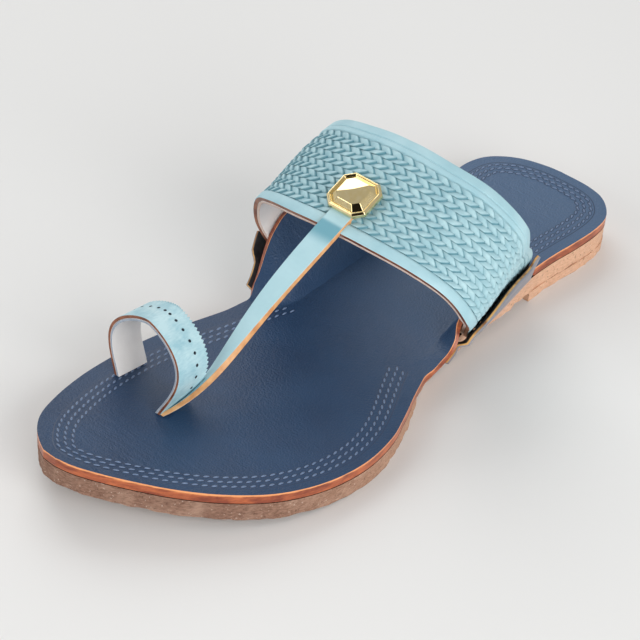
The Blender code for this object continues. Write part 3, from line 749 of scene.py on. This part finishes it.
# Band edges: place round the arch, front edge on the medial and on the lateral side, and rear edge along the
# shoe (shares of the length).
BAND_EDGES = (
    (0.00, -0.058, -0.058, 0.096),
    (0.15, -0.053, -0.053, 0.099),
    (0.30, -0.037, -0.039, 0.112),
    (0.45, -0.012, -0.017, 0.126),
    (0.60, 0.006, 0.005, 0.146),
    (0.72, 0.016, 0.026, 0.172),
    (0.80, 0.023, 0.045, 0.208),
    (0.88, 0.029, 0.066, 0.236),
    (1.00, 0.038, 0.094, 0.246),
)


def band_front(around):
    """Where the band's front edge lies along the shoe."""
    skew = BAND_SKEW * math.sin(around * math.pi / 2)
    return (look_up(BAND_EDGES, 1 if around < 0 else 2, abs(around)) + skew) * LENGTH


def band_rear(around):
    """Where the band's rear edge lies along the shoe."""
    skew = BAND_SKEW * math.sin(around * math.pi / 2)
    return (look_up(BAND_EDGES, 3, abs(around)) + skew) * LENGTH


# Grey split leather: matt, slightly fuzzy, with long faint strain lines along the flap.
grey_split, tree, shader, place = new_material("grey_split_leather", 0.75, 0.3)
pull = node(tree, "Mapping", {"Vector": place, "Scale": (1, 0.25, 1.3)})
lines = node(tree, "TexNoise", {"Vector": pull, "Scale": 420, "Detail": 5, "Roughness": 0.65})
grey = node(tree, "Mix", {"Factor": lines, 6: "#7B7B84", 7: "#A9A7AA"}, data_type="RGBA")
connect(shader, {"Base Color": grey})
nap = node(tree, "Bump", {"Height": lines, "Strength": 0.5, "Distance": 0.0004})
connect(shader, {"Normal": nap})

# Ochre edge paint: a thin glossy line along the inner half of the cut edge, uneven by hand. The outer half
# is bare. Next to the inner face the edge is painted almost black, as the shade beside the band.
ochre_paint, tree, shader, place = new_material("ochre_edge_paint", 0.35, 0.5)
uneven = node(tree, "TexNoise", {"Vector": place, "Scale": 260, "Detail": 4})
uneven_share = node(tree, "MapRange", {"Value": uneven, "From Min": 0.4, "From Max": 0.65})
ochre = node(tree, "Mix", {"Factor": uneven_share, 6: "#D9A75F", 7: "#8A5A2C"}, data_type="RGBA")
inwards = node(tree, "Attribute", attribute_name="depth")
painted = node(tree, "MapRange", {"Value": inwards.outputs["Fac"], "From Min": 0.35, "From Max": 0.50})
edge_tone = node(tree, "Mix", {"Factor": painted, 6: "#94929A", 7: ochre}, data_type="RGBA")
# Painted shade: towards the inner face the edge turns almost black, the shade beside the band.
inner_shade = node(tree, "MapRange", {"Value": inwards.outputs["Fac"], "From Min": 0.78, "From Max": 0.92})
edge_and_inner_shade = node(tree, "Mix", {"Factor": inner_shade, 6: edge_tone, 7: "#2A221C"}, data_type="RGBA")
connect(shader, {"Base Color": edge_and_inner_shade})

# Flap inner face: the inner face of the same leather, painted almost black as the shade between flap and
# band.
flap_inner = mottled("flap_inner_face_shade", 0.9, 0.1, 700, 3, "#211F21", "#3B383A")

for side, side_name in ((MEDIAL, "medial"), (LATERAL, "lateral")):
    outer = []
    inner = []
    clear = BAND_WALL + BRAID_RAISE + GAP
    flap_first = FLAP_FRONT[side] * LENGTH
    flap_last = FLAP_REAR * LENGTH
    for station in range(FLAP_STATIONS + 1):
        y = flap_first + (flap_last - flap_first) * station / FLAP_STATIONS
        wander = 1 + 0.02 * noise.noise(Vector((side * 3, y * 160, 0)))
        height = waist_side(side, 2, y) * FLAP_HEIGHT * wander
        ahead = smooth((0.008 - y) / 0.006) if side == MEDIAL else 0
        height = max(height, FLAP_OVER_WING * waist_side(side, 1, y) * WING_HEIGHT * ahead)
        outer.append([])
        inner.append([])
        for rise_step in range(FLAP_RISE_STEPS + 1):
            share = rise_step / FLAP_RISE_STEPS
            level = height * share
            beside = smooth(1.5 - (band_front(side * around_at_height(y, level)) - y) / (clear * 1.5))
            stand_off = FLAP_STAND_OFF * share ** 3 * beside * smooth((flap_last - y) / 0.012)
            distance = GAP + (clear - GAP) * beside + stand_off + FLAP_AHEAD_OFF * ahead * share
            inner[-1].append(side_point(side, y, level, distance))
            outer[-1].append(side_point(side, y, level, distance + FLAP_THICK))
    flap = sheet_piece(
        "flap_leather_" + side_name, outer, inner, [grey_split, flap_inner, ochre_paint], (2, 0, 0, 2),
        bevel=0.00035, rim_steps=2)
    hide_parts("flap_" + side_name)

# Instep band: a broad strap of light blue leather over the instep, lined with thin white leather. Its front
# and rear borders are plain and folded, and the front cut edge is painted dark brown over the pale lining.

BAND_FOOT = 0.99
BAND_MIDDLE_WIDTH = (BAND_EDGES[0][3] - BAND_EDGES[0][1]) * LENGTH
LINING_THICK = 0.0010
LINING_GAP = 0.0001
LINING_STEPS = 12

# Section of the band's outer face from front to rear, in mm: distance from the front edge and height over
# the last. The braid lies on rows 4 to 8.
BAND_SECTION = (
    (0.0, 2.70),
    (0.5, 2.95),
    (3.2, 3.00),
    (3.9, 2.75),
    (4.3, 2.10),
    (12.0, 2.15),
    (19.0, 2.15),
    (26.0, 2.15),
    (32.9, 2.10),
    (33.3, 2.85),
    (34.2, 3.00),
    (34.9, 2.95),
    (35.15, 2.60),
    (35.4, 2.95),
    (38.0, 2.95),
    (38.5, 2.70),
)


def band_point(around, across, height):
    """A point of the band: across is 0 at its front edge and 1 at its rear edge."""
    front = band_front(around)
    return off_last(around, front + (band_rear(around) - front) * across, height)


# Light blue finished leather: pigmented, faintly grained, a soft satin.
blue_leather = mottled(
    "light_blue_finished_leather", 0.5, 0.4, 120, 4, "#9DC5CF", "#AED1D9", span=(0.3, 0.7),
    relief=(1500, 3, 0.25, 0.0003))

# The ground under the braid is the same leather, painted darker as the shade under the strands.
braid_ground_shade = mottled("braid_ground_painted_shade", 0.7, 0.2, 500, 2, "#3F7180", "#5F909C")

# White lining leather: thin glazed sheepskin, slightly warm, with a faint wrinkle.
white_lining = mottled(
    "white_lining_leather", 0.5, 0.4, 240, 4, "#E9E5E2", "#F6F3F0", relief=(240, 4, 0.3, 0.0004))

# Pale lining edge: bare cut edge of the lining, cream with a pink tinge.
lining_edge = mottled("pale_lining_edge", 0.7, 0.3, 400, 3, "#C9AFA2", "#E6D3C6")

# Dark brown edge paint: a thin brushed line with a low gloss.
brown_paint = mottled("dark_brown_edge_paint", 0.4, 0.4, 300, 4, "#6E3A26", "#A3694A", span=(0.35, 0.7))

ARCH_STEPS = 110
arounds = [BAND_FOOT * (2 * step / ARCH_STEPS - 1) for step in range(ARCH_STEPS + 1)]
outer = []
inner = []
for distance, height in BAND_SECTION:
    share = distance / (BAND_MIDDLE_WIDTH * 1000)
    outer.append([band_point(around, share, height * 0.001) for around in arounds])
    inner.append([band_point(around, share, LINING_THICK + LINING_GAP) for around in arounds])
band = sheet_piece(
    "instep_band_leather", outer, inner, [blue_leather, white_lining, brown_paint, braid_ground_shade],
    (2, 2, 0, 0), bevel=0.0003)
for face_index, face in enumerate(band.data.polygons):
    section_row = face_index // (2 * ARCH_STEPS)
    if face.material_index == 0 and 4 <= section_row <= 7:
        face.material_index = 3
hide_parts("upper")

outer = []
inner = []
for step in range(LINING_STEPS + 1):
    outer.append([band_point(around, step / LINING_STEPS, LINING_THICK) for around in arounds])
    inner.append([band_point(around, step / LINING_STEPS, 0.0) for around in arounds])
lining = sheet_piece(
    "band_lining", outer, inner, [white_lining, white_lining, lining_edge], (2, 2, 0, 0), bevel=0.0002)
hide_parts("upper")

# Pressed braid: seven rows of flat strands of the band's blue leather. In each row the strands lean
# together in pairs like the ribs of a leaf, each end tucked under the next pair.

BRAID_ROWS = 7
BRAID_PITCH = 0.0046
BRAID_FRONT = 4.35
BRAID_REAR = 32.85
BRAID_BASE = 0.00205
STRAND_HEIGHT = 0.00095
STRAND_HALF_WIDTH = 0.52
STRAND_LEAN = 0.60
ACROSS_STRAND = 8
ALONG_STRAND = (0.0, 0.2, 0.45, 0.7, 0.92, 1.0)

# Braided blue leather: the same finished leather, with painted shade along each strand's stepped edge, under
# its trailing edge and at its tucked ends.
strand_leather_and_shade, tree, shader, place = new_material("braided_blue_leather_and_shade", 0.5, 0.4)
tuck_shade = node(tree, "Attribute", attribute_name="tuck_shade")
tint = node(tree, "TexNoise", {"Vector": place, "Scale": 300, "Detail": 4})
tint_share = node(tree, "MapRange", {"Value": tint, "From Min": 0.3, "From Max": 0.7})
blue = node(tree, "Mix", {"Factor": tint_share, 6: "#9AC2CC", 7: "#B8D9DF"}, data_type="RGBA")
shaded = node(tree, "Mix", {"Factor": tuck_shade.outputs["Fac"], 6: blue, 7: "#467E8C"}, data_type="RGBA")
connect(shader, {"Base Color": shaded})
pores = node(tree, "TexNoise", {"Vector": place, "Scale": 1300, "Detail": 3})
fine = node(tree, "Bump", {"Height": pores, "Strength": 0.3, "Distance": 0.0003})
connect(shader, {"Normal": fine})

walk = [0.0]
middle_share = (BRAID_FRONT + BRAID_REAR) / 2 / (BAND_MIDDLE_WIDTH * 1000)
for near, far in zip(arounds, arounds[1:]):
    stride = band_point(far, middle_share, BAND_WALL) - band_point(near, middle_share, BAND_WALL)
    walk.append(walk[-1] + stride.length)


def around_at(distance):
    """Place round the arch at a distance walked over it from the medial end."""
    distance = min(max(distance, 0), walk[-1] - 1e-6)
    step = max(i for i, walked in enumerate(walk) if walked <= distance)
    share = (distance - walk[step]) / (walk[step + 1] - walk[step])
    return arounds[step] + (arounds[step + 1] - arounds[step]) * share


random.seed(7)
mesh = bmesh.new()
tuck_shade_layer = mesh.verts.layers.float.new("tuck_shade")
first_share = BRAID_FRONT / (BAND_MIDDLE_WIDTH * 1000)
last_share = BRAID_REAR / (BAND_MIDDLE_WIDTH * 1000)
row_share = (last_share - first_share) / BRAID_ROWS
strand_count = int(walk[-1] / BRAID_PITCH)
for row in range(BRAID_ROWS):
    centre_share = first_share + (row + 0.5) * row_share
    for pair in range(strand_count):
        for arm in (-1, 1):
            start = (pair + 0.25 + (0.5 if arm > 0 else 0)) * BRAID_PITCH
            lift = STRAND_HEIGHT * random.uniform(0.9, 1.1)
            grid = []
            for b in ALONG_STRAND:
                reach = b * 1.10 - 0.10
                narrow = 0.80 + 0.20 * smooth(b * 3)
                line = []
                for across_step in range(ACROSS_STRAND + 1):
                    a = 2 * across_step / ACROSS_STRAND - 1
                    lean = STRAND_LEAN * (1 - b ** 1.15)
                    distance = start + BRAID_PITCH * (STRAND_HALF_WIDTH * a * narrow + lean)
                    across_share = (a + 1) / 2
                    crown = (0.10 + 0.90 * across_share) * (1 - across_share ** 9)
                    end = smooth(b * 4) * smooth((1 - b) * 9 + 0.35)
                    height = BRAID_BASE + lift * crown * (0.5 + 0.6 * end)
                    share = centre_share + arm * reach * row_share * 0.5
                    vertex = mesh.verts.new(band_point(around_at(distance), share, height))
                    # Painted shade: dark along the strand's stepped edge, a little under its trailing edge,
                    # and at its tucked ends.
                    drop = smooth((across_share - 0.74) / 0.2)
                    vertex[tuck_shade_layer] = min(1, drop + 0.30 * (1 - across_share) ** 3 + 0.4 * (1 - end))
                    line.append(vertex)
                grid.append(line)
            for near, far in zip(grid, grid[1:]):
                for i in range(ACROSS_STRAND):
                    corners = (near[i], near[i + 1], far[i + 1], far[i])
                    mesh.faces.new(corners if arm < 0 else corners[::-1])
for face in mesh.faces:
    face.smooth = True
braid = add_object(mesh, "band_braid", [strand_leather_and_shade], shoe_origin)
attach(braid, "root")

# Toe ring: a strap of grained light blue leather bent into a round loop over the big toe, lined in white.
# Its front edge is painted brown, its rear edge is pinked, and a row of small round holes is punched along
# it. Both feet go down through slits in the insole.

RING_WIDTH = 0.0250
RING_HEIGHT = 0.0272
RING_SWELL = 0.66
RING_STRAP_WIDTH = 0.0133
RING_WALL = 0.0020
RING_CENTRE = -0.280
RING_PLACE = -0.312
RING_SKEW = 0.010
RING_LEAN = 0.018
RING_STEPS = 10
RING_LINING_STEPS = 8
RING_LINING_COLUMNS = 72
PINK_TEETH = 52
PINK_DEPTH = 0.035
RING_HOLES = 15
HOLE_PLACE = 0.62
HOLE_RADIUS = 0.00056
HOLE_LIFT = 0.00005


def ring_point(around, across, distance):
    """A point of the ring. around runs from -1 (medial foot) over the top to 1 (lateral foot), and across
    from the front edge to the rear one."""
    angle = around * math.pi / 2
    out = math.sin(angle) * RING_WIDTH / 2 * (1 + RING_SWELL * math.sin(2 * abs(angle)))
    up = max(math.cos(angle), 0) ** 0.9 * RING_HEIGHT
    foot_y = (RING_PLACE - RING_SKEW * around) * LENGTH + across * RING_STRAP_WIDTH
    lean = RING_LEAN * LENGTH * up / RING_HEIGHT
    away = Vector((math.sin(angle), 0, math.cos(angle)))
    point = Vector((RING_CENTRE * BALL_WIDTH + out, foot_y + lean, insole_top(foot_y) + GAP + up))
    return point + away * distance


# Grained light blue leather: smooth and satin, with a fine cross grain of shallow folds, about 0.5 mm apart.
grained_blue, tree, shader, place = new_material("grained_light_blue_leather", 0.48, 0.4)
across_strap = node(tree, "Mapping", {"Vector": place, "Scale": (1.5, 0.45, 1.5)})
folds = node(tree, "TexNoise", {"Vector": across_strap, "Scale": 1100, "Detail": 3, "Roughness": 0.55})
bloom = node(tree, "TexNoise", {"Vector": place, "Scale": 160, "Detail": 2})
grain_share = node(tree, "Math", {0: folds, 1: 0.6, 2: bloom}, operation="MULTIPLY_ADD")
fold_share = node(tree, "MapRange", {"Value": grain_share, "From Min": 0.60, "From Max": 0.98})
blue = node(tree, "Mix", {"Factor": fold_share, 6: "#9CC6D1", 7: "#BFDDE3"}, data_type="RGBA")
connect(shader, {"Base Color": blue})
emboss = node(tree, "Bump", {"Height": folds, "Strength": 0.35, "Distance": 0.0003})
connect(shader, {"Normal": emboss})

# Grey glued edge of the ring's lining.
grey_edge = mottled("grey_lining_edge", 0.6, 0.3, 400, 3, "#8795A6", "#B9C1CB")

outer = []
inner = []
columns = PINK_TEETH * 4
for step in range(RING_STEPS + 1):
    across = step / RING_STEPS
    outer.append([])
    inner.append([])
    for column in range(columns + 1):
        around = 2 * column / columns - 1
        tooth = PINK_DEPTH * (0, 1, 0, -1)[column % 4] * smooth(across * 5 - 4)
        outer[-1].append(ring_point(around, across + tooth, 0))
        inner[-1].append(ring_point(around, across + tooth, -RING_WALL * 0.55))
ring = sheet_piece(
    "toe_ring_leather", outer, inner, [grained_blue, white_lining, brown_paint], (2, 0, 0, 0), bevel=0.0002)
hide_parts("upper")

outer = []
inner = []
ring_arounds = [2 * step / RING_LINING_COLUMNS - 1 for step in range(RING_LINING_COLUMNS + 1)]
for step in range(RING_LINING_STEPS + 1):
    across = step / RING_LINING_STEPS * 0.985
    outer.append([ring_point(around, across, -RING_WALL * 0.58) for around in ring_arounds])
    inner.append([ring_point(around, across, -RING_WALL) for around in ring_arounds])
ring_lining = sheet_piece(
    "toe_ring_lining", outer, inner, [white_lining, white_lining, grey_edge], (2, 2, 0, 0), bevel=0.00015)
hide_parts("upper")

# Punched holes: dark navy-brown dimples along the ring.
hole_dark = mottled("punched_hole_shadow", 0.9, 0.1, 900, 2, "#1E2630", "#3A3F47")
mesh = bmesh.new()
for hole in range(RING_HOLES):
    around = -0.70 + 1.52 * hole / (RING_HOLES - 1)
    centre = ring_point(around, HOLE_PLACE, 0)
    along = ring_point(around + 0.01, HOLE_PLACE, 0) - ring_point(around - 0.01, HOLE_PLACE, 0)
    along.normalize()
    back = (ring_point(around, 0.66, 0) - ring_point(around, 0.58, 0)).normalized()
    normal = back.cross(along).normalized()
    if normal.dot(Vector((math.sin(around * 1.57), 0, math.cos(around * 1.57)))) < 0:
        normal.negate()
    rim = []
    for turn in range(12):
        angle = turn * math.pi / 6
        spoke = along * math.cos(angle) + back * math.sin(angle)
        rim.append(mesh.verts.new(centre + normal * HOLE_LIFT + spoke * HOLE_RADIUS))
    mesh.faces.new(rim)
holes = add_object(mesh, "toe_ring_holes", [hole_dark], shoe_origin)
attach(holes, "root")

# T-strap: a narrow doubled strap of the smooth blue leather, its cut edges left tan. It lies flat under the
# stud, then turns on edge on its way down to the lateral foot of the toe ring.

STRAP_WIDTH = 0.0085
STRAP_THICK = 0.0020
STRAP_BOW = 0.0030
STRAP_TWIST = 2.1
STRAP_TAIL = 0.02
FLAT_STEPS = 12
FREE_STEPS = 48
STRAP_COLUMNS = (-1, -0.5, 0, 0.5, 1)
STUD_PLACE = -0.0080

# Natural tan cut edge: bare edge of the strap, warm and slightly glossy from rubbing.
tan_edge = mottled("tan_rubbed_edge", 0.45, 0.4, 300, 4, "#E9B27A", "#CB8A55", span=(0.35, 0.7))

# Light blue strap leather: the band's leather with fine creases, and painted shade where the strap bends off
# the band's edge.
blue_with_bend_shade, tree, shader, place = new_material("light_blue_leather_bend_shade", 0.5, 0.4)
bloom = node(tree, "TexNoise", {"Vector": place, "Scale": 140, "Detail": 3})
blue = node(tree, "Mix", {"Factor": bloom, 6: "#A6CDD6", 7: "#BCDDE4"}, data_type="RGBA")
along = node(tree, "SeparateXYZ", {"Vector": place})
# Painted shade: a darker blue band where the strap bends down off the band's front edge.
bend_in = node(tree, "MapRange", {
    "Value": along.outputs["Y"], "From Min": -0.0135, "From Max": -0.0150}, interpolation_type="SMOOTHSTEP")
bend_out = node(tree, "MapRange", {
    "Value": along.outputs["Y"], "From Min": -0.0215, "From Max": -0.0175}, interpolation_type="SMOOTHSTEP")
bend_shade = node(tree, "Math", {0: bend_in, 1: bend_out}, operation="MULTIPLY")
bend_shaded_blue = node(tree, "Mix", {"Factor": bend_shade, 6: blue, 7: "#6FA6B5"}, data_type="RGBA")
connect(shader, {"Base Color": bend_shaded_blue})
fold_place = node(tree, "Mapping", {"Vector": place, "Scale": (0.5, 1.6, 1.0)})
small_folds = node(tree, "TexNoise", {"Vector": fold_place, "Scale": 700, "Detail": 3})
crimp = node(tree, "Bump", {"Height": small_folds, "Strength": 0.3, "Distance": 0.0003})
connect(shader, {"Normal": crimp})

face_rows = []
back_rows = []
seat = BAND_WALL + BRAID_RAISE + STRAP_THICK * 0.4
strap_rear = (STUD_PLACE + STRAP_TAIL) * LENGTH
strap_front = BAND_EDGES[0][1] * LENGTH
for step in range(FLAT_STEPS + 1):
    y = strap_rear + (strap_front - strap_rear) * step / FLAT_STEPS * 0.95
    middle = off_last(0, y, seat)
    normal = (off_last(0, y, 1) - off_last(0, y, 0)).normalized()
    half = Vector((STRAP_WIDTH / 2, 0, 0))
    face_rows.append([middle + half * share for share in STRAP_COLUMNS])
    back_rows.append([point - normal * STRAP_THICK for point in face_rows[-1]])
medial_start = face_rows[-1][0]
lateral_start = face_rows[-1][-1]
medial_end = ring_point(1, 0.50, -RING_WALL * 0.4)
lateral_end = ring_point(1, 0.02, -RING_WALL * 0.4)
run = medial_end + lateral_end - medial_start - lateral_start
for step in range(1, FREE_STEPS + 1):
    share = step / FREE_STEPS
    middle = (medial_start + lateral_start).lerp(medial_end + lateral_end, share) / 2
    middle.x += STRAP_BOW * 12 * share ** 4 * (1 - share)
    half = (lateral_start - medial_start).lerp(lateral_end - medial_end, share ** STRAP_TWIST) / 2
    normal = run.cross(half).normalized().lerp(Vector((-1, 0, 0)), share ** 3).normalized()
    face_rows.append([middle + half * place_across for place_across in STRAP_COLUMNS])
    back_rows.append([point - normal * STRAP_THICK for point in face_rows[-1]])
strap = sheet_piece(
    "t_strap_leather", face_rows, back_rows, [blue_with_bend_shade, blue_with_bend_shade, tan_edge], (2, 2, 2, 2),
    bevel=0.0003)
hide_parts("upper")

# Stud: a cast, gold-plated ornament with cut corners, a raised rim and a shallow faceted dome, riveted
# through the strap and the band.

STUD_WIDTH = 0.0162
STUD_LENGTH = 0.0148
STUD_CORNER_CUT = 0.195
STUD_CROWN = 0.0042

# Section of the stud from its foot over the rim to the dome: scale of the outline and height.
STUD_SECTION = ((1.0, 0.0), (1.0, 0.0012), (0.93, 0.0019), (0.88, 0.0019), (0.83, 0.0013), (0.60, 0.0031))

# Bright gold plating over brass: polished facets, so each one mirrors the studio.
gold_plating = mottled(
    "polished_gold_plating", 0.12, 0.5, 500, 3, "#F0D490", "#F8E8BC", relief=(500, 3, 0.08, 0.0002))
connect(gold_plating.node_tree.nodes["Principled BSDF"], {"Metallic": 1.0})

mesh = bmesh.new()
corners = []
for x, y, next_x, next_y in ((1, -1, 1, 1), (1, 1, -1, 1), (-1, 1, -1, -1), (-1, -1, 1, -1)):
    corners.append((x + (next_x - x) * STUD_CORNER_CUT, y + (next_y - y) * STUD_CORNER_CUT))
    corners.append((next_x + (x - next_x) * STUD_CORNER_CUT, next_y + (y - next_y) * STUD_CORNER_CUT))
corners = [(x * STUD_WIDTH / 2, y * STUD_LENGTH / 2) for x, y in corners]
loops = []
for scale, height in STUD_SECTION:
    loops.append([mesh.verts.new((x * scale, y * scale, height)) for x, y in corners])
for below, above in zip(loops, loops[1:]):
    for i in range(8):
        mesh.faces.new((below[i], below[(i + 1) % 8], above[(i + 1) % 8], above[i]))
mesh.faces.new(loops[0][::-1])
crown = mesh.verts.new((0, 0, STUD_CROWN))
for i in range(8):
    mesh.faces.new((loops[-1][i], loops[-1][(i + 1) % 8], crown))
bmesh.ops.recalc_face_normals(mesh, faces=mesh.faces)
base = off_last(0, STUD_PLACE * LENGTH, 0)
normal = (off_last(0, STUD_PLACE * LENGTH, 1) - base).normalized()
stud_foot = base + normal * (seat + GAP) + shoe_origin
stud = add_object(mesh, "gold_stud", [gold_plating], stud_foot)
stud.rotation_euler = normal.to_track_quat("Z", "Y").to_euler()
soften = stud.modifiers.new("cast_edges", "BEVEL")
soften.width = 0.00012
soften.segments = 2
soften.limit_method = "ANGLE"
soften.angle_limit = math.radians(15)
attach(stud, "root")
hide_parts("stud")
